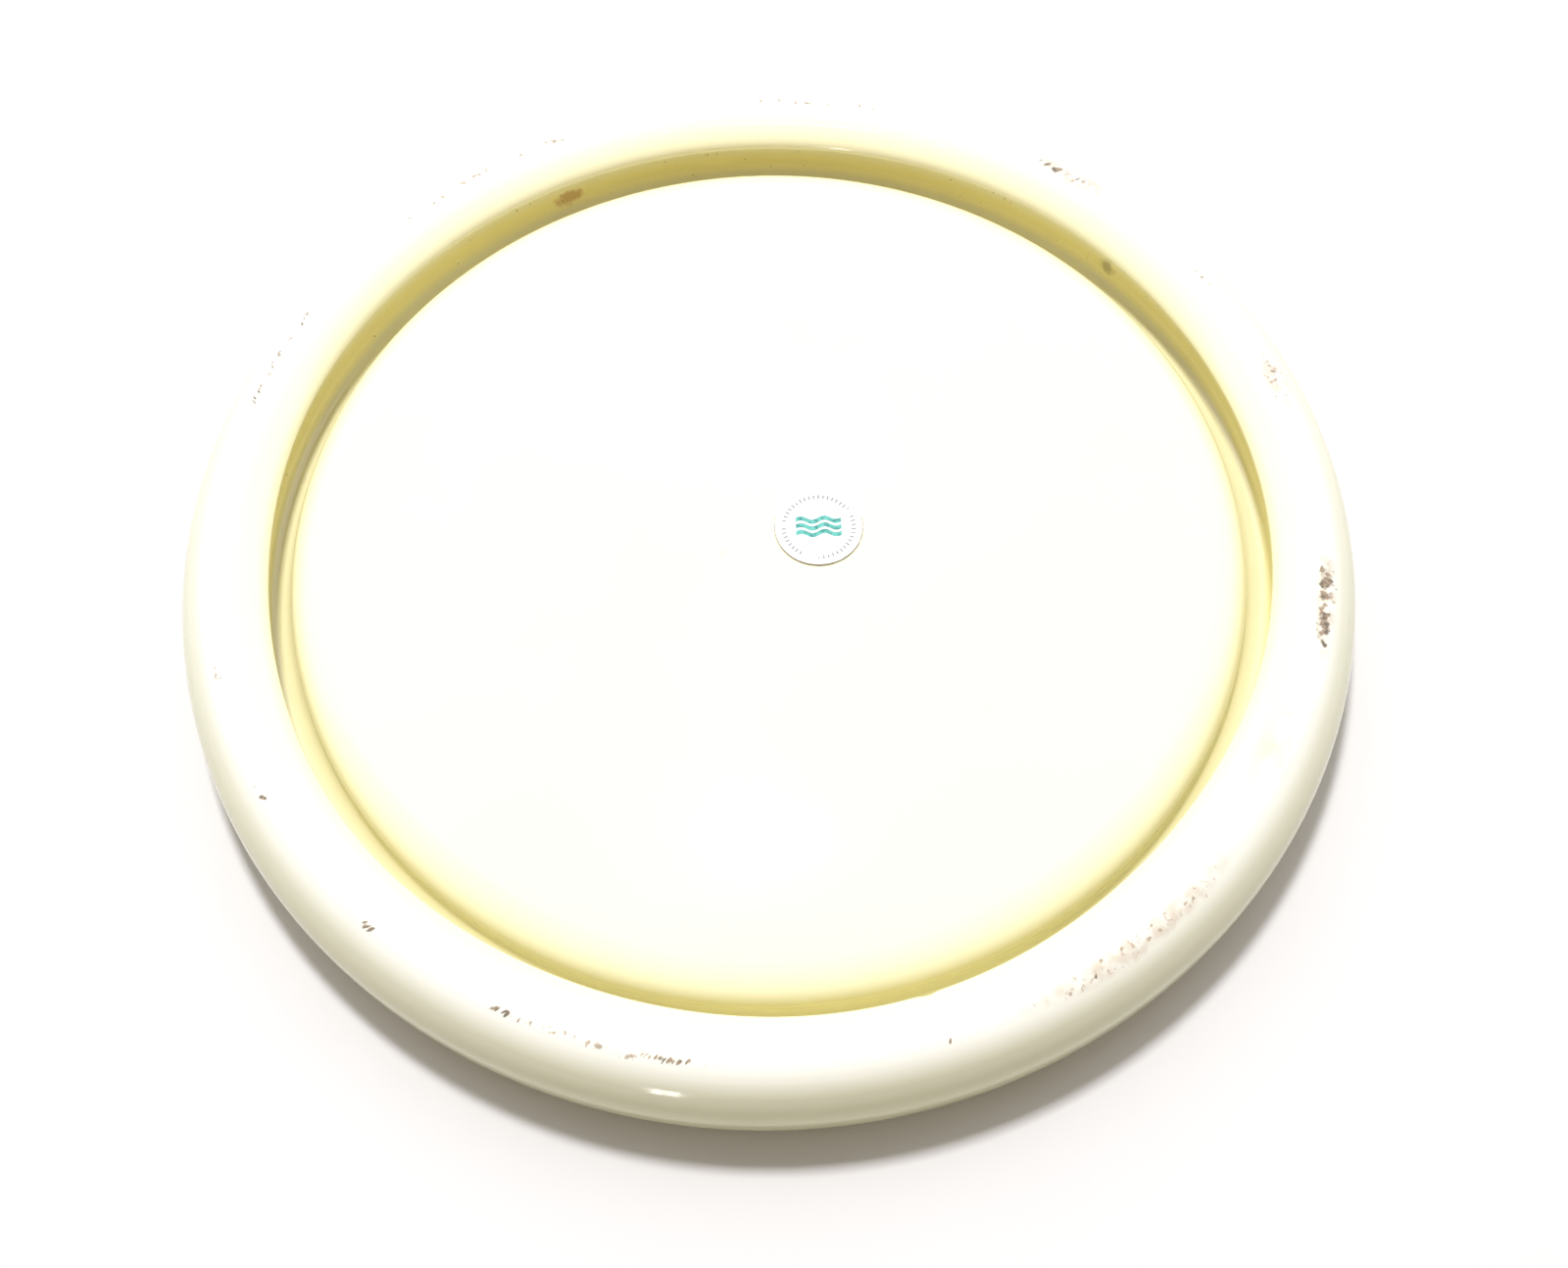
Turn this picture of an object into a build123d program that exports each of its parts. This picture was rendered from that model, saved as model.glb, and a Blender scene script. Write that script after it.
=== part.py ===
from build123d import *
import os

# A flying disc in millimetres, lying with its rolled rim up.
# Z is the axis of the disc. The origin is on it, in the plane of the foot that the disc rests on.
# It is three pieces: a flight plate, a hollow rim clipped over the plate's turned-up edge, and a label.

# Overall sizes
disc_diameter = 270.0
disc_height = 24.0

# Rim: a hollow roll, with a lip that overhangs the channel, a tall outer flank and a flat foot
rim_width = 20.5            # from the outer face to the lip
rim_wall = 2.0
crest_inset = 9.3           # from the outer face to the crest
widest_drop = 12.5          # from the crest down to the widest line
lip_drop = 4.5              # from the crest down to the lip
foot_inset = 6.5            # from the outer face to the foot
foot_width = 4.0

# Flight plate: a raised flat, a rounded shoulder, a channel round it and a turned-up edge
plate_wall = 2.0
plateau_drop = 7.3          # from the crest down to the flat
shoulder_run = 8.5          # width of the rounding, from the flat to the channel's inner wall
shoulder_drop = 5.2         # height of the rounding
cove_radius = 3.0           # rounding along each side of the channel's floor
channel_floor = 0.5         # flat width between those roundings
channel_wall = 0.2          # upright height between the shoulder and the rounding below it

# Fit of the rim on the turned-up edge
lip_clearance = 0.9         # from the lip's nose to the edge's inner face
top_clearance = 1.0         # from the roll's ceiling at the lip down to the edge's top
bond_height = 5.0           # height of leg and edge that are bonded face to face

# Label: a round paper sticker, off centre on the flat
label_diameter = 20.6
label_thickness = 0.2
label_x = 11.9
label_y = 0.2

outer_radius = disc_diameter / 2
lip_radius = outer_radius - rim_width
crest_radius = outer_radius - crest_inset
foot_outer_radius = outer_radius - foot_inset
foot_inner_radius = foot_outer_radius - foot_width
widest_z = disc_height - widest_drop
lip_z = disc_height - lip_drop
plateau_z = disc_height - plateau_drop
cove_z = plateau_z - shoulder_drop - channel_wall
channel_z = cove_z - cove_radius

edge_inner_radius = lip_radius + rim_wall + lip_clearance
edge_outer_radius = edge_inner_radius + plate_wall
edge_top_z = lip_z + top_clearance
shoulder_outer_radius = edge_inner_radius - channel_floor - 2 * cove_radius
plateau_radius = shoulder_outer_radius - shoulder_run


def bend(centre_r, centre_z, semi_r, semi_z, start, end):
    """Arc of an upright ellipse in the R-Z half plane, between two angles in degrees from +R."""
    return EllipticalCenterArc((centre_r, centre_z), semi_r, semi_z, start, arc_size=end - start)


def spin(edges):
    """Solid of revolution about Z of a closed outline in the R-Z half plane."""
    outline = Plane.XZ * make_face(edges)
    return revolve(outline, Axis.Z, 360)


def flight_plate():
    """Moulded plate of even wall, from the axis out to the rounded top of its turned-up edge."""
    shoulder_z = plateau_z - shoulder_drop
    inner_run = shoulder_run - plate_wall
    inner_drop = shoulder_drop - plate_wall
    cove_outer = cove_radius + plate_wall
    floor_inner_radius = shoulder_outer_radius + cove_radius
    floor_outer_radius = edge_inner_radius - cove_radius
    underside_radius = shoulder_outer_radius - plate_wall
    nose = plate_wall / 2
    nose_z = edge_top_z - nose
    return spin([
        Line((0, plateau_z), (plateau_radius, plateau_z)),
        bend(plateau_radius, shoulder_z, shoulder_run, shoulder_drop, 0, 90),
        Line((shoulder_outer_radius, shoulder_z), (shoulder_outer_radius, cove_z)),
        bend(floor_inner_radius, cove_z, cove_radius, cove_radius, 180, 270),
        Line((floor_inner_radius, channel_z), (floor_outer_radius, channel_z)),
        bend(floor_outer_radius, cove_z, cove_radius, cove_radius, 270, 360),
        Line((edge_inner_radius, cove_z), (edge_inner_radius, nose_z)),
        bend(edge_inner_radius + nose, nose_z, nose, nose, 0, 180),
        Line((edge_outer_radius, nose_z), (edge_outer_radius, cove_z)),
        bend(floor_outer_radius, cove_z, cove_outer, cove_outer, 270, 360),
        Line((floor_outer_radius, channel_z - plate_wall), (floor_inner_radius, channel_z - plate_wall)),
        bend(floor_inner_radius, cove_z, cove_outer, cove_outer, 180, 270),
        Line((underside_radius, cove_z), (underside_radius, shoulder_z)),
        bend(plateau_radius, shoulder_z, inner_run, inner_drop, 0, 90),
        Line((plateau_radius, plateau_z - plate_wall), (0, plateau_z - plate_wall)),
        Line((0, plateau_z - plate_wall), (0, plateau_z)),
    ])


def rim_ring():
    """Hollow roll: lip, crest, flank, foot, and a leg inside that is bonded to the turned-up edge."""
    crest_inner_z = disc_height - rim_wall
    lip_run = crest_radius - lip_radius
    flank_run = outer_radius - crest_radius
    tuck_run = outer_radius - foot_outer_radius
    nose = rim_wall / 2
    heel = foot_inner_radius - edge_outer_radius
    heel_inner = heel - rim_wall
    leg_top_z = cove_z + bond_height
    leg_outer_radius = edge_outer_radius + rim_wall
    return spin([
        bend(crest_radius, lip_z, lip_run, lip_drop, 90, 180),
        bend(crest_radius, widest_z, flank_run, widest_drop, 0, 90),
        bend(foot_outer_radius, widest_z, tuck_run, widest_z, 270, 360),
        Line((foot_outer_radius, 0), (foot_inner_radius, 0)),
        bend(foot_inner_radius, heel, heel, heel, 180, 270),
        Line((edge_outer_radius, heel), (edge_outer_radius, leg_top_z)),
        bend(edge_outer_radius + nose, leg_top_z, nose, nose, 0, 180),
        Line((leg_outer_radius, leg_top_z), (leg_outer_radius, heel)),
        bend(foot_inner_radius, heel, heel_inner, heel_inner, 180, 270),
        Line((foot_inner_radius, rim_wall), (foot_outer_radius, rim_wall)),
        bend(foot_outer_radius, widest_z, tuck_run - rim_wall, widest_z - rim_wall, 270, 360),
        bend(crest_radius, widest_z, flank_run - rim_wall, crest_inner_z - widest_z, 0, 90),
        bend(crest_radius, lip_z, lip_run - rim_wall, crest_inner_z - lip_z, 90, 180),
        bend(lip_radius + nose, lip_z, nose, nose, 180, 360),
    ])


def label():
    """Thin paper disc stuck to the flat."""
    place = Location((label_x, label_y, plateau_z + label_thickness / 2))
    return place * Cylinder(label_diameter / 2, label_thickness)


os.makedirs("parts", exist_ok=True)
export_step(flight_plate(), "parts/flight_plate.step")
export_step(rim_ring(), "parts/rim_ring.step")
export_step(label(), "parts/label.step")
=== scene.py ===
import math

import bmesh
import bpy
from mathutils import Matrix, Vector


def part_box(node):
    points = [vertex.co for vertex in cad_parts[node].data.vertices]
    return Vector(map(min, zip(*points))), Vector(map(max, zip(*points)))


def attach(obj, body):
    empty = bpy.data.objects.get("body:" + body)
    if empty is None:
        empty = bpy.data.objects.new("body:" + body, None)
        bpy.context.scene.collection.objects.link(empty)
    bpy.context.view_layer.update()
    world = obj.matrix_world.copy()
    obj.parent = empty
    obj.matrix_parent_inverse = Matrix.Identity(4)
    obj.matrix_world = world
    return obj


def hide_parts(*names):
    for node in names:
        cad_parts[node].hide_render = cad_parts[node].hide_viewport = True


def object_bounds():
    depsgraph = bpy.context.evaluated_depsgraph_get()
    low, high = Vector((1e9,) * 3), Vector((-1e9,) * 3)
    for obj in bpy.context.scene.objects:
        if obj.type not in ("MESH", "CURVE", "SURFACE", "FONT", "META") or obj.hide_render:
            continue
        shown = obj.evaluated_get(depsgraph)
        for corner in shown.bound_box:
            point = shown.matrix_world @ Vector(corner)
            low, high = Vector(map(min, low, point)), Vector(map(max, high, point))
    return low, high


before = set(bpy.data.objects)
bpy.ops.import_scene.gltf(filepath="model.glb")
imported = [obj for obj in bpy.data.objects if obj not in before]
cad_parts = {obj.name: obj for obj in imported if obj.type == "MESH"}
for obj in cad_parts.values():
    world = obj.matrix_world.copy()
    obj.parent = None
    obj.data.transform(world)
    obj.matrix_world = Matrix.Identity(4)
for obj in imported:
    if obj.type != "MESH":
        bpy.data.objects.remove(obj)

cad_low, cad_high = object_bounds()


# ---- The board that the disc lies on ----------------------------------------------------------
# A plain matt white board, not part of the disc. Its paper face is even, with a faint cloudiness.

class Signal:
    """A number that varies over a surface: arithmetic on it adds Math nodes."""

    def __init__(self, shading, socket):
        self.shading = shading
        self.socket = socket

    def math(self, operation, *values):
        return self.shading.node("ShaderNodeMath", {"operation": operation}, dict(enumerate(values)))

    def __add__(self, other):
        return self.math("ADD", self, other)

    def __radd__(self, other):
        return self.math("ADD", other, self)

    def __sub__(self, other):
        return self.math("SUBTRACT", self, other)

    def __rsub__(self, other):
        return self.math("SUBTRACT", other, self)

    def __mul__(self, other):
        return self.math("MULTIPLY", self, other)

    def __rmul__(self, other):
        return self.math("MULTIPLY", other, self)

    def __truediv__(self, other):
        return self.math("DIVIDE", self, other)

    def __rtruediv__(self, other):
        return self.math("DIVIDE", other, self)

    def __pow__(self, other):
        return self.math("POWER", self, other)

    def __abs__(self):
        return self.math("ABSOLUTE", self)

    def either(self, other):
        return self.math("MAXIMUM", self, other)

    def rise(self, low, high):
        """0 below low, 1 above high and smooth between them; it falls instead if low is above high."""
        falls = low > high
        bounds = {"From Min": min(low, high), "From Max": max(low, high), "To Min": 1.0 * falls,
                  "To Max": 1.0 - falls}
        return self.shading.node("ShaderNodeMapRange", {"interpolation_type": "SMOOTHSTEP"},
                                 {"Value": self, **bounds})

    def near(self, centre, reach):
        """1 at centre, falling smoothly to 0 at that reach on both sides of it."""
        return abs(self - centre).rise(reach, 0.0)


class Shading:
    """The node tree of a material or a world, written as expressions."""

    def __init__(self, owner):
        owner.use_nodes = True
        self.owner = owner
        self.tree = owner.node_tree
        self.tree.nodes.clear()

    def node(self, kind, settings=None, inputs=None, output=0):
        made = self.tree.nodes.new(kind)
        for key, value in (settings or {}).items():
            setattr(made, key, value)
        for key, value in (inputs or {}).items():
            if isinstance(value, Signal):
                self.tree.links.new(value.socket, made.inputs[key])
            else:
                made.inputs[key].default_value = value
        return Signal(self, made.outputs[output])

    def place(self, axis=None):
        """The point on the surface in the disc's own frame, in metres, or one of its coordinates."""
        point = self.node("ShaderNodeTexCoord", output="Object")
        if axis is None:
            return point
        return self.node("ShaderNodeSeparateXYZ", inputs={"Vector": point}, output=axis)

    def cloud(self, size, detail=2.0, seed=0.0, point=None):
        """Cloudy noise from 0 to 1, with features of about that size in metres."""
        inputs = {"Vector": point or self.place(), "W": seed, "Scale": 1.0 / size, "Detail": detail}
        return self.node("ShaderNodeTexNoise", {"noise_dimensions": "4D"}, inputs)

    def mix(self, mask, under, over):
        """One colour laid over another through a mask."""
        return self.node("ShaderNodeMix", {"data_type": "RGBA"}, {0: mask, 6: under, 7: over}, 2)

    def bump(self, height, depth):
        """A normal for a relief of that height signal times a depth in metres."""
        return self.node("ShaderNodeBump", inputs={"Height": height, "Distance": depth})

    def close(self, shader, end="ShaderNodeOutputMaterial"):
        """Ends the tree with its output node, and gives back the material or world."""
        self.tree.links.new(shader.socket, self.tree.nodes.new(end).inputs["Surface"])
        return self.owner


def material(name):
    return Shading(bpy.data.materials.new(name))


MM = 0.001
board_half = 1.6
board_cloud_size = 60 * MM
board_colour = (0.71, 0.70, 0.71, 1)
board_cloud_colour = (0.69, 0.68, 0.695, 1)

board_mesh = bpy.data.meshes.new("board")
corners = [(x * board_half, y * board_half, 0) for x, y in ((-1, -1), (1, -1), (1, 1), (-1, 1))]
board_mesh.from_pydata(corners, [], [(0, 1, 2, 3)])
board = bpy.data.objects.new("board", board_mesh)
bpy.context.scene.collection.objects.link(board)
paper = material("board_paper")
board_tint = paper.mix(paper.cloud(board_cloud_size), board_colour, board_cloud_colour)
board_mesh.materials.append(paper.close(paper.node("ShaderNodeBsdfPrincipled", inputs={
    "Base Color": board_tint, "Roughness": 0.65, "Specular IOR Level": 0.3})))


# ---- Light and camera -------------------------------------------------------------------------
# A soft lamp and three short bare tubes hang high up beyond the disc, before a bright ceiling panel.
# The room is dim on the camera's side, where a window of two panes and a slim ceiling light show in
# the near flank's gloss.

def aimed(thing, place, target, roll=0.0):
    """Puts a lamp or the camera at a place, facing a target, turned about its own line of sight."""
    look = (Vector(target) - Vector(place)).to_track_quat("-Z", "Y").to_matrix().to_4x4()
    thing.matrix_world = Matrix.Translation(place) @ look @ Matrix.Rotation(roll, 4, "Z")
    bpy.context.scene.collection.objects.link(thing)


def lamp(name, place, width, height, watts, glint):
    """A flat lamp facing the disc, which either shows in its gloss as a glint or lights its colour."""
    light = bpy.data.lights.new(name, "AREA")
    light.shape = "RECTANGLE"
    light.size = width
    light.size_y = height
    light.energy = watts
    thing = bpy.data.objects.new(name, light)
    thing.visible_glossy = glint
    thing.visible_diffuse = not glint
    aimed(thing, place, (0, 0, 0))


def sky_point(azimuth, elevation, distance):
    """A place seen from the disc; azimuth is measured from +Y towards +X, in degrees."""
    turn, lift = math.radians(azimuth), math.radians(elevation)
    return (distance * math.cos(lift) * math.sin(turn), distance * math.cos(lift) * math.cos(turn),
            distance * math.sin(lift))


lamp_distance = 1.5
lamp_place = sky_point(-11, 71.5, lamp_distance)
lamp_size = 0.2
lamp_watts = 21.5
lamp("soft_lamp", lamp_place, lamp_size, lamp_size, lamp_watts, False)

tube_elevation = 72
tube_thickness = 0.004
tube_watts_per_metre = 1.2
tubes = ((-5.6, 0.037), (-0.6, 0.036), (4.6, 0.02))
for number, (azimuth, length) in enumerate(tubes):
    lamp(f"tube_{number}", sky_point(azimuth, tube_elevation, lamp_distance), length, tube_thickness,
         tube_watts_per_metre * length, True)

pane_distance = 1.63
pane_elevation = 7.5
pane_width = 0.042
pane_height = 0.32
pane_watts = 0.6
for number, azimuth in enumerate((195.2, 197.3)):
    lamp(f"pane_{number}", sky_point(azimuth, pane_elevation, pane_distance), pane_width, pane_height,
         pane_watts, True)

strip_place = sky_point(181, 47, lamp_distance)
strip_length = 0.5
strip_width = 0.008
strip_watts = 0.12
lamp("ceiling_strip", strip_place, strip_length, strip_width, strip_watts, True)

# Each edge of the panel is a pair of distances along the ceiling, for each metre of its height above
# the disc, between which its light comes up.
wall_light = (0.49, 0.48, 0.46, 1)
dim_side = (0.34, 0.27, 0.18, 1)
dim_towards = (0.0, -0.96, 0.28)
panel_light = (1.6, 1.58, 1.62, 1)
panel_near_edge = (0.315, 0.335)
panel_far_edge = (2.2, 1.2)
panel_side_edge = (1.8, 1.1)
room = Shading(bpy.data.worlds.new("room"))
heading = room.node("ShaderNodeTexCoord", output="Generated")
east, north, up = (room.node("ShaderNodeSeparateXYZ", inputs={"Vector": heading}, output=axis)
                   for axis in "XYZ")
dim_share = room.node("ShaderNodeVectorMath", {"operation": "DOT_PRODUCT"},
                      {0: heading, 1: dim_towards}, "Value").rise(0.1, 0.9)
ahead = north / up
panel = (ahead.rise(*panel_near_edge) * ahead.rise(*panel_far_edge) * abs(east / up).rise(*panel_side_edge)
         * up.rise(0.0, 0.02))
glow = room.mix(panel, room.mix(dim_share, wall_light, dim_side), panel_light)
bpy.context.scene.world = room.close(
    room.node("ShaderNodeBackground", inputs={"Color": glow}), "ShaderNodeOutputWorld")

camera_place = (0, -0.2065, 0.3597)
camera_target = (0.0028, -0.0312, 0.024)
camera_roll = math.radians(-1.34)
camera = bpy.data.objects.new("camera", bpy.data.cameras.new("camera"))
camera.data.sensor_width = 36
camera.data.lens = 39.64
camera.data.clip_start = 0.01
aimed(camera, camera_place, camera_target, camera_roll)
bpy.context.scene.camera = camera
bpy.context.scene.view_settings.view_transform = "Standard"
bpy.context.scene.view_settings.look = "None"


# ---- Flight plate -----------------------------------------------------------------------------
# The plate is one moulding in glossy cream plastic: a raised flat, a rounded shoulder, a channel
# and a turned-up edge hidden under the rim's lip. Its shoulder and channel are painted darker and
# yellower as painted shade in the recess, and the channel's outer wall a brighter, deeper yellow as
# painted bounce light. There are a few old stains and specks on the channel's outer wall.

disc_radius = (cad_high.x - cad_low.x) / 2
crest_z = cad_high.z
rim_width = 20.5 * MM
plate_wall = 2.0 * MM
plateau_drop = 7.3 * MM
shoulder_run = 8.5 * MM
shoulder_drop = 5.2 * MM
channel_width = 6.5 * MM
channel_depth = 8.4 * MM
cove_bend = 3.0 * MM
edge_behind_lip = 2.9 * MM
edge_drop = 3.5 * MM

lip_radius = disc_radius - rim_width
plateau_z = crest_z - plateau_drop
channel_z = plateau_z - channel_depth
edge_inner = lip_radius + edge_behind_lip
edge_outer = edge_inner + plate_wall
edge_top = crest_z - edge_drop
shoulder_outer = edge_inner - channel_width
plateau_radius = shoulder_outer - shoulder_run


def run(start, end, steps):
    """Points along a straight line, closer together at its ends, without its last point."""
    shares = [(1 - math.cos(math.pi * i / steps)) / 2 for i in range(steps)]
    return [(start[0] + (end[0] - start[0]) * s, start[1] + (end[1] - start[1]) * s) for s in shares]


def bend(centre_r, centre_z, semi_r, semi_z, start, end, steps):
    """Points along an upright ellipse between two angles in degrees, without its last point."""
    turns = [math.radians(start + (end - start) * i / steps) for i in range(steps)]
    return [(centre_r + semi_r * math.cos(t), centre_z + semi_z * math.sin(t)) for t in turns]


def turned(name, outline, waver=None, segments=520):
    """A smooth solid of revolution of a closed outline of (radius, height) points.

    A waver gives how far each point stands out of round.
    """
    verts = []
    for i in range(segments):
        angle = 2 * math.pi * i / segments
        for radius, height in outline:
            across = radius + waver(radius, height, angle) if waver else radius
            verts.append((across * math.cos(angle), across * math.sin(angle), height))
    count = len(outline)
    faces = []
    for i in range(segments):
        here, there = i * count, (i + 1) % segments * count
        faces += [(here + j, there + j, there + (j + 1) % count, here + (j + 1) % count)
                  for j in range(count)]
    mesh = bpy.data.meshes.new(name)
    mesh.from_pydata(verts, [], faces)
    work = bmesh.new()
    work.from_mesh(mesh)
    bmesh.ops.remove_doubles(work, verts=work.verts, dist=1e-6)
    bmesh.ops.recalc_face_normals(work, faces=work.faces)
    work.to_mesh(mesh)
    work.free()
    mesh.shade_smooth()
    thing = bpy.data.objects.new(name, mesh)
    bpy.context.scene.collection.objects.link(thing)
    return thing


def plate_outline():
    nose = plate_wall / 2
    shoulder_z, cove_z = plateau_z - shoulder_drop, channel_z + cove_bend
    floor_start, floor_end = shoulder_outer + cove_bend, edge_inner - cove_bend
    under_z, floor_under = plateau_z - plate_wall, channel_z - plate_wall
    under_run, under_drop = shoulder_run - plate_wall, shoulder_drop - plate_wall
    outer_cove = cove_bend + plate_wall
    return (run((0, plateau_z), (plateau_radius, plateau_z), 24)
            + bend(plateau_radius, shoulder_z, shoulder_run, shoulder_drop, 90, 0, 20)
            + run((shoulder_outer, shoulder_z), (shoulder_outer, cove_z), 4)
            + bend(floor_start, cove_z, cove_bend, cove_bend, 180, 270, 10)
            + run((floor_start, channel_z), (floor_end, channel_z), 4)
            + bend(floor_end, cove_z, cove_bend, cove_bend, 270, 360, 10)
            + run((edge_inner, cove_z), (edge_inner, edge_top - nose), 6)
            + bend(edge_inner + nose, edge_top - nose, nose, nose, 180, 0, 10)
            + run((edge_outer, edge_top - nose), (edge_outer, cove_z), 6)
            + bend(floor_end, cove_z, outer_cove, outer_cove, 360, 270, 12)
            + run((floor_end, floor_under), (floor_start, floor_under), 4)
            + bend(floor_start, cove_z, outer_cove, outer_cove, 270, 180, 12)
            + run((shoulder_outer - plate_wall, cove_z), (shoulder_outer - plate_wall, shoulder_z), 4)
            + bend(plateau_radius, shoulder_z, under_run, under_drop, 0, 90, 12)
            + run((plateau_radius, under_z), (0, under_z), 24) + [(0, under_z)])


cream = (0.93, 0.885, 0.58, 1)
cream_pale = (0.93, 0.895, 0.63, 1)
# A darker yellowed cream, used both for one faint real spot and as painted shade in the channel.
yellowing_and_shade = (0.73, 0.69, 0.44, 1)
# Painted bounce light: a brighter, deeper yellow for the channel's outer wall.
painted_bounce_yellow = (0.97, 0.89, 0.41, 1)
old_brown = (0.17, 0.11, 0.06, 1)
rust_brown = (0.50, 0.26, 0.10, 1)
clean_roughness = 0.09
cloudy_roughness = 0.05
grime_roughness = 0.4
waver_depth = 0.12 * MM
grain_depth = 0.0015 * MM


def polar(x, y):
    """Distance from the axis, and bearing in degrees from +X, counter-clockwise seen from above."""
    bearing = x.shading.node("ShaderNodeMath", {"operation": "ARCTAN2"}, {0: y, 1: x})
    return (x * x + y * y) ** 0.5, bearing * (180 / math.pi)


def smear(bearing, offset, azimuth, half_length, half_width):
    """A spindle along the rim: 1 in its middle, 0 at half_length degrees and half_width metres away."""
    apart = bearing.shading.node("ShaderNodeMath", {"operation": "WRAP"},
                                 {0: bearing - azimuth, 1: 180.0, 2: -180.0})
    return (1.0 - (apart / half_length) ** 2 - (offset / half_width) ** 2).either(0.0)


def cream_gloss(shading, tint, grime, relief, relief_depth):
    """Glossy plastic: polished where clean, duller in grime, with the slow waver of a moulding."""
    waver = shading.cloud(45 * MM, 1.0) * waver_depth
    grain = shading.cloud(1.6 * MM, 2.0, 3.0) * grain_depth
    normal = shading.bump(waver + grain + relief * relief_depth, 1.0)
    rough = clean_roughness + shading.cloud(20 * MM, 3.0, 5.0) * cloudy_roughness + grime * grime_roughness
    return shading.close(shading.node("ShaderNodeBsdfPrincipled", inputs={
        "Base Color": tint, "Roughness": rough, "Normal": normal, "IOR": 1.5,
        "Coat Weight": 0.3, "Coat Roughness": 0.05}))


brown_stain_z = channel_z + 4.5 * MM
rust_stain_z = channel_z + 3.5 * MM
stain_depth = 0.08 * MM
faint_spot_x = -10.5 * MM
faint_spot_y = -5.9 * MM


def plate_material():
    shade = material("plate_cream")
    x, y, z = (shade.place(axis) for axis in "XYZ")
    radius, bearing = polar(x, y)
    tint = shade.mix(shade.cloud(50 * MM, 4.0), cream, cream_pale)

    # Painted shade darkens and yellows the shoulder and the channel, least on the far side.
    recess_shade = z.rise(plateau_z - 0.6 * MM, channel_z + 2.5 * MM) * radius.rise(plateau_radius, shoulder_outer)
    recess_shade = recess_shade * (0.25 + 0.75 * y.rise(100 * MM, 30 * MM))
    tint = shade.mix(recess_shade * (0.7 + 0.5 * shade.cloud(30 * MM, 4.0, 9.0)), tint, yellowing_and_shade)
    # Painted bounce light: the channel's outer wall is painted a brighter, deeper yellow.
    on_wall = radius.rise(edge_inner - 2.0 * MM, edge_inner)
    tint = shade.mix(on_wall * z.rise(plateau_z, channel_z + 4.0 * MM), tint, painted_bounce_yellow)

    # Two dried stains on the outer wall, blotted at their edges, and specks all along its far side.
    blot = shade.cloud(2.2 * MM, 4.0, 11.0)
    brown = smear(bearing, z - brown_stain_z, 40.8, 1.7, 3.2 * MM) * on_wall
    rust = smear(bearing, z - rust_stain_z, 114.3, 2.6, 3.0 * MM) * on_wall
    brown_ink = (brown * 0.5 + blot).rise(0.62, 0.95) * brown.rise(0.0, 0.2)
    rust_ink = (rust * 0.6 + blot).rise(0.62, 1.0) * rust.rise(0.0, 0.2)
    specks = shade.cloud(1.3 * MM, 1.0, 17.0).rise(0.71, 0.76) * on_wall * bearing.rise(20.0, 40.0)
    tint = shade.mix(rust_ink * 0.65, tint, rust_brown)
    tint = shade.mix((brown_ink * 0.5).either(specks * 0.7), tint, old_brown)

    # One faint round spot on the flat.
    spot = ((x - faint_spot_x) ** 2 + (y - faint_spot_y) ** 2) ** 0.5
    tint = shade.mix(spot.rise(1.1 * MM, 0.3 * MM) * 0.4, tint, yellowing_and_shade)
    dried = brown_ink.either(rust_ink)
    return cream_gloss(shade, tint, dried, dried * blot, stain_depth)


plate = turned("plate_shell", plate_outline())
plate.data.materials.append(plate_material())
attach(plate, "root")
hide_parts("flight_plate")


# ---- Rim --------------------------------------------------------------------------------------
# The rim is a hollow roll of the same cream plastic, clipped over the plate's edge and bonded. Its
# lip wavers a little and has one nick. The crest takes the knocks when the disc lands on its face,
# so it carries a broken ring of brown scuffs, heaviest on the right.

rim_wall = 2.0 * MM
crest_inset = 9.3 * MM
widest_drop = 12.5 * MM
lip_drop = 4.5 * MM
foot_inset = 6.5 * MM
foot_width = 4.0 * MM
bond_height = 5.0 * MM

crest_radius = disc_radius - crest_inset
widest_z = crest_z - widest_drop
lip_z = crest_z - lip_drop
foot_outer = disc_radius - foot_inset
foot_inner = foot_outer - foot_width
leg_top = channel_z + cove_bend + bond_height

nick_azimuth = math.radians(284.3)
nick_reach = math.radians(1.1)
nick_depth = 0.5 * MM


def rim_outline():
    nose, heel = rim_wall / 2, foot_inner - edge_outer
    lip_run, flank_run = crest_radius - lip_radius, disc_radius - crest_radius
    tuck_run = disc_radius - foot_outer
    ceiling_z = crest_z - rim_wall
    leg_outer = edge_outer + rim_wall
    return (bend(lip_radius + nose, lip_z, nose, nose, 360, 180, 14)
            + bend(crest_radius, lip_z, lip_run, crest_z - lip_z, 180, 90, 26)
            + bend(crest_radius, widest_z, flank_run, crest_z - widest_z, 90, 0, 30)
            + bend(foot_outer, widest_z, tuck_run, widest_z, 360, 270, 24)
            + run((foot_outer, 0), (foot_inner, 0), 4)
            + bend(foot_inner, heel, heel, heel, 270, 180, 12)
            + run((edge_outer, heel), (edge_outer, leg_top), 5)
            + bend(edge_outer + nose, leg_top, nose, nose, 180, 0, 10)
            + run((leg_outer, leg_top), (leg_outer, heel), 5)
            + bend(foot_inner, heel, heel - rim_wall, heel - rim_wall, 180, 270, 8)
            + run((foot_inner, rim_wall), (foot_outer, rim_wall), 4)
            + bend(foot_outer, widest_z, tuck_run - rim_wall, widest_z - rim_wall, 270, 360, 14)
            + bend(crest_radius, widest_z, flank_run - rim_wall, ceiling_z - widest_z, 0, 90, 16)
            + bend(crest_radius, lip_z, lip_run - rim_wall, ceiling_z - lip_z, 90, 180, 16))


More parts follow.
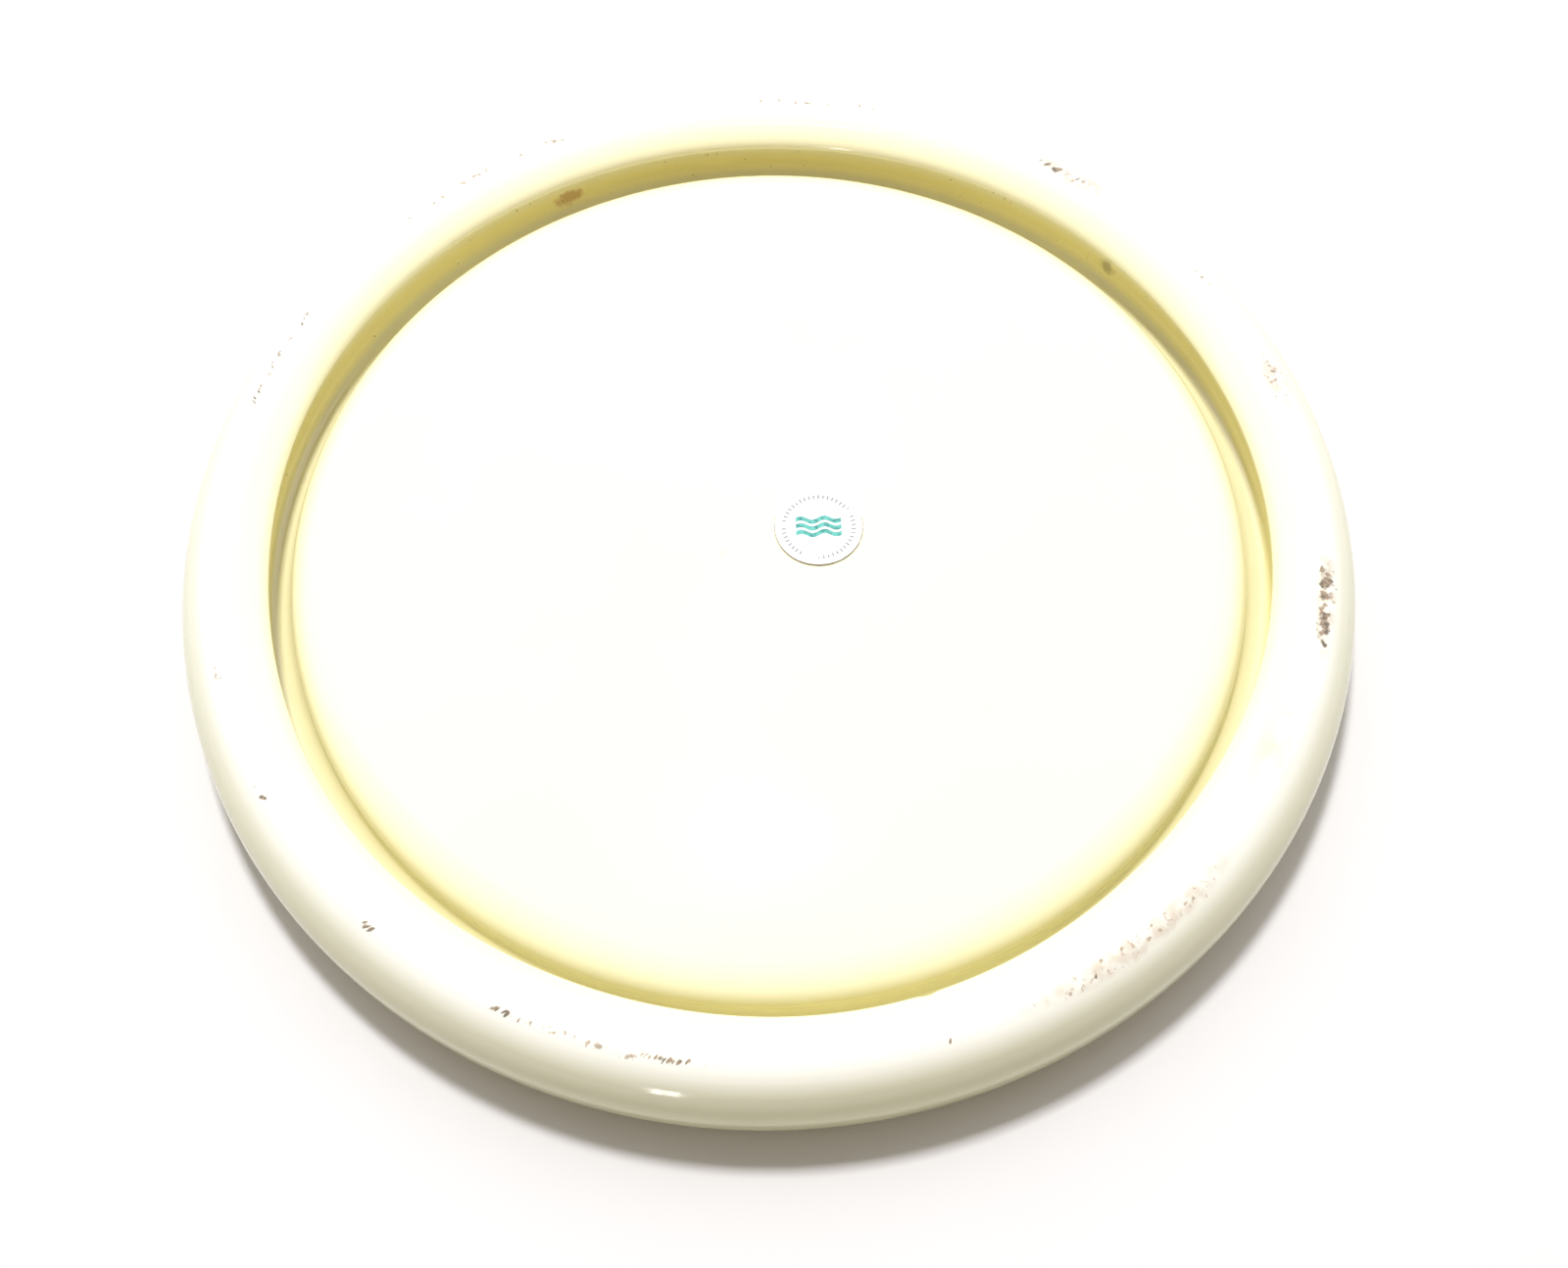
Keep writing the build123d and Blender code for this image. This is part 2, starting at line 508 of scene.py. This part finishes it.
def lip_waver(radius, height, angle):
    """How far the roll's inner side stands out of round, most at the lip and nothing at the crest."""
    if height < leg_top + rim_wall / 2:
        return 0
    share = max(0, (crest_radius - radius) / (crest_radius - lip_radius))
    waves = ((3, 16, 0.315 * MM), (5, -4, 0.27 * MM), (6, -18, 0.18 * MM))
    swing = sum(size * math.cos(order * (angle - math.radians(lag))) for order, lag, size in waves)
    nick = nick_depth * max(0, 1 - abs(angle - nick_azimuth) / nick_reach)
    return (swing + nick) * share ** 2


scuff_taupe = (0.30, 0.22, 0.145, 1)
scuff_dark = (0.13, 0.10, 0.07, 1)
scuff_rust = (0.41, 0.28, 0.18, 1)
scuff_blush = (0.60, 0.53, 0.44, 1)
crest_painted_sheen = (0.76, 0.755, 0.69, 1)
flank_painted_shade = (0.71, 0.71, 0.475, 1)
crest_yellowed = (0.60, 0.57, 0.40, 1)
scuff_depth = 0.06 * MM

# Where the crest is marked: each mark's bearing and half length along the ring, in degrees.
heavy_spots = ((345.2, 3.6), (349.0, 2.8))
struck_spots = ((51.8, 3.6), (228.5, 0.8))
nipped_spots = ((15.4, 1.4), (244, 2.6), (259.3, 4.2), (211.3, 1.0), (162.5, 2.2), (151, 1.8),
                (284.5, 0.4), (299, 0.5))
dusty_spots = ((305, 16), (347, 8), (50, 7), (15, 5))
sandy_spots = ((83, 14), (122, 22), (158, 12), (30, 4), (197, 3), (253, 14), (211, 2))


def marks(bearing, offset, half_width, spots):
    """The strongest of several smears of one width, each given by its bearing and half length."""
    strongest = 0.0
    for azimuth, half_length in spots:
        strongest = smear(bearing, offset, azimuth, half_length, half_width).either(strongest)
    return strongest


def rim_material():
    shade = material("rim_cream")
    x, y, z = (shade.place(axis) for axis in "XYZ")
    radius, bearing = polar(x, y)
    offset = radius - crest_radius - 0.3 * MM
    tint = shade.mix(shade.cloud(50 * MM, 4.0), cream, cream_pale)
    # Painted shade: the outer flank below the crest is painted darker and greyer.
    tint = shade.mix(offset.rise(0.0, 6.0 * MM), tint, flank_painted_shade)
    # Painted sheen: a paler, less yellow band along the crest.
    tint = shade.mix(offset.near(1.0 * MM, 8.5 * MM) * z.rise(lip_z - 4.0 * MM, lip_z), tint, crest_painted_sheen)

    # Knocks on hard ground lie in a wandering line along the crest: caked lumps where they were
    # heaviest, short leaning strokes across the ring, loose specks, and a brownish bloom round them.
    line = offset + (shade.cloud(12 * MM, 2.0, 7.0) - 0.5) * (2.0 * MM)
    heavy = marks(bearing, line, 2.1 * MM, heavy_spots)
    struck = marks(bearing, line, 1.4 * MM, struck_spots)
    nipped = marks(bearing, line, 1.0 * MM, nipped_spots)
    dusty = marks(bearing, line, 2.9 * MM, dusty_spots)
    sandy = marks(bearing, line, 1.4 * MM, sandy_spots)

    lumps = shade.cloud(1.8 * MM, 5.0, 21.0)
    fine = shade.cloud(1.1 * MM, 3.0, 31.0)
    along = bearing * (math.pi / 180 * crest_radius)
    leaning = shade.node("ShaderNodeCombineXYZ", inputs={0: along + offset * 0.5, 1: offset * 0.35})
    stroke = shade.cloud(0.9 * MM, 1.5, 61.0, leaning)
    caked = (heavy * 0.22 + lumps).rise(0.61, 0.72) * heavy.rise(0.0, 0.12)
    zone = struck.either(nipped * 0.8)
    strokes = (zone * 0.24 + stroke).rise(0.66, 0.75) * zone.rise(0.0, 0.15)
    loose = (dusty * 0.85).either(sandy)
    grains = (loose * 0.16 + fine).rise(0.68, 0.80) * loose.rise(0.0, 0.2)
    bloom = dusty.either(struck * 0.7).rise(0.0, 0.9) * shade.cloud(4 * MM, 5.0, 41.0).rise(0.36, 0.66)
    yellow = smear(bearing, offset + 2.5 * MM, 331, 9, 5.0 * MM)
    yellow = yellow * shade.cloud(12 * MM, 3.0, 51.0).rise(0.45, 0.65)

    tint = shade.mix(yellow * 0.8, tint, crest_yellowed)
    tint = shade.mix(bloom, tint, scuff_blush)
    tint = shade.mix(grains * 0.8, tint, shade.mix(lumps.rise(0.4, 0.6), scuff_taupe, scuff_rust))
    tint = shade.mix(strokes * 0.95, tint, shade.mix(lumps.rise(0.4, 0.6), scuff_dark, scuff_taupe))
    tint = shade.mix(caked * 0.95, tint, shade.mix(fine.rise(0.42, 0.62), scuff_taupe, scuff_dark))
    worn = caked.either(grains).either(strokes)
    return cream_gloss(shade, tint, worn.either(bloom * 0.5), 0.0 - worn, scuff_depth)


rim = turned("rim_shell", rim_outline(), lip_waver)
rim.data.materials.append(rim_material())
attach(rim, "root")
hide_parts("rim_ring")


# ---- Label ------------------------------------------------------------------------------------
# A round paper sticker, die cut and pressed on by hand off centre, so that its edge has lifted a
# little on one side, where a thin shadow is painted along the edge. It is printed with three plain
# waves in turquoise, inside a ring of short ticks in grey.

label_low, label_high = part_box("label")
label_x, label_y = (label_low.x + label_high.x) / 2, (label_low.y + label_high.y) / 2
label_radius = (label_high.x - label_low.x) / 2
paper_thickness = 0.12 * MM
glue_thickness = 0.01 * MM
edge_lift = 0.28 * MM
curl_start = 0.72
far_curl_share = 0.1


def label_mesh(rings=24, segments=128):
    """A thin disc whose outer edge curls up, more on the near side, closed at its rim."""
    def lift(share, angle):
        curl = max(0, share - curl_start) / (1 - curl_start)
        nearness = (1 - math.sin(angle)) / 2
        return glue_thickness + edge_lift * curl ** 2 * (far_curl_share + (1 - far_curl_share) * nearness)

    def level(rise):
        points = []
        for i in range(1, rings + 1):
            for j in range(segments):
                angle = 2 * math.pi * j / segments
                share = i / rings
                points.append((label_x + label_radius * share * math.cos(angle),
                               label_y + label_radius * share * math.sin(angle),
                               plateau_z + lift(share, angle) + rise))
        return points

    ring_points = rings * segments
    verts = level(0) + level(paper_thickness)
    for rise in (0, paper_thickness):
        verts.append((label_x, label_y, plateau_z + glue_thickness + rise))
    faces = []
    for side in (0, ring_points):
        centre = 2 * ring_points + (side > 0)
        for j in range(segments):
            k = (j + 1) % segments
            faces.append((centre, side + j, side + k))
            for i in range(rings - 1):
                inner, outer = side + i * segments, side + (i + 1) * segments
                faces.append((inner + j, outer + j, outer + k, inner + k))
    last = (rings - 1) * segments
    for j in range(segments):
        k = (j + 1) % segments
        faces.append((last + j, last + k, last + ring_points + k, last + ring_points + j))
    mesh = bpy.data.meshes.new("label_paper")
    mesh.from_pydata(verts, [], faces)
    work = bmesh.new()
    work.from_mesh(mesh)
    bmesh.ops.recalc_face_normals(work, faces=work.faces)
    work.to_mesh(mesh)
    work.free()
    mesh.shade_smooth()
    mesh.set_sharp_from_angle(angle=math.radians(40))
    return mesh


paper_white = (0.93, 0.93, 0.91, 1)
paper_grey = (0.89, 0.89, 0.87, 1)
print_turquoise = (0.12, 0.47, 0.42, 1)
print_teal = (0.05, 0.25, 0.23, 1)
print_grey = (0.20, 0.20, 0.24, 1)
edge_painted_shadow = (0.20, 0.17, 0.13, 1)
fibre_depth = 0.01 * MM

# The print's sizes are in millimetres from the label's centre.
wave_levels = (1.9, 0.1, -1.7)
wave_reach = 5.3
wave_swing = 0.5
wave_turns = 1.15
tick_ring = 8.1
tick_count = 46


def label_material():
    shade = material("label_print")
    x = (shade.place("X") - label_x) / MM
    y = (shade.place("Y") - label_y) / MM
    radius, bearing = polar(x, y)
    fibre = shade.cloud(0.6 * MM, 3.0)
    tint = shade.mix(fibre, paper_white, paper_grey)

    swell = shade.node("ShaderNodeMath", {"operation": "SINE"}, {0: x * wave_turns})
    waves = 0.0
    for level in wave_levels:
        waves = abs(y - level - swell * wave_swing).rise(0.72, 0.5).either(waves)
    waves = waves * abs(x).rise(wave_reach + 0.1, wave_reach - 0.1)
    beat = shade.node("ShaderNodeMath", {"operation": "SINE"}, {0: bearing * (math.pi / 180 * tick_count)})
    ticks = (abs(radius - tick_ring).rise(0.7, 0.4) * beat.rise(0.2, 0.7)
             * shade.cloud(3 * MM, 0.0, 5.0).rise(0.40, 0.50))
    smudge = shade.cloud(1.2 * MM, 2.0, 3.0)
    # Painted shadow: a thin dark band along the label's lifted edge on its near side.
    edge_shadow = radius.rise(10.0, 10.2) * y.rise(6.5, 1.0) * shade.cloud(2 * MM, 2.0, 9.0).rise(0.25, 0.45)
    tint = shade.mix(edge_shadow * 0.85, tint, edge_painted_shadow)
    tint = shade.mix(ticks * 0.9, tint, print_grey)
    tint = shade.mix(waves, tint, shade.mix(smudge.rise(0.45, 0.62), print_turquoise, print_teal))
    rough = 0.45 - waves * 0.12
    return shade.close(shade.node("ShaderNodeBsdfPrincipled", inputs={
        "Base Color": tint, "Roughness": rough, "Normal": shade.bump(fibre, fibre_depth)}))


label = bpy.data.objects.new("label_sheet", label_mesh())
bpy.context.scene.collection.objects.link(label)
label.data.materials.append(label_material())
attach(label, "root")
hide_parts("label")
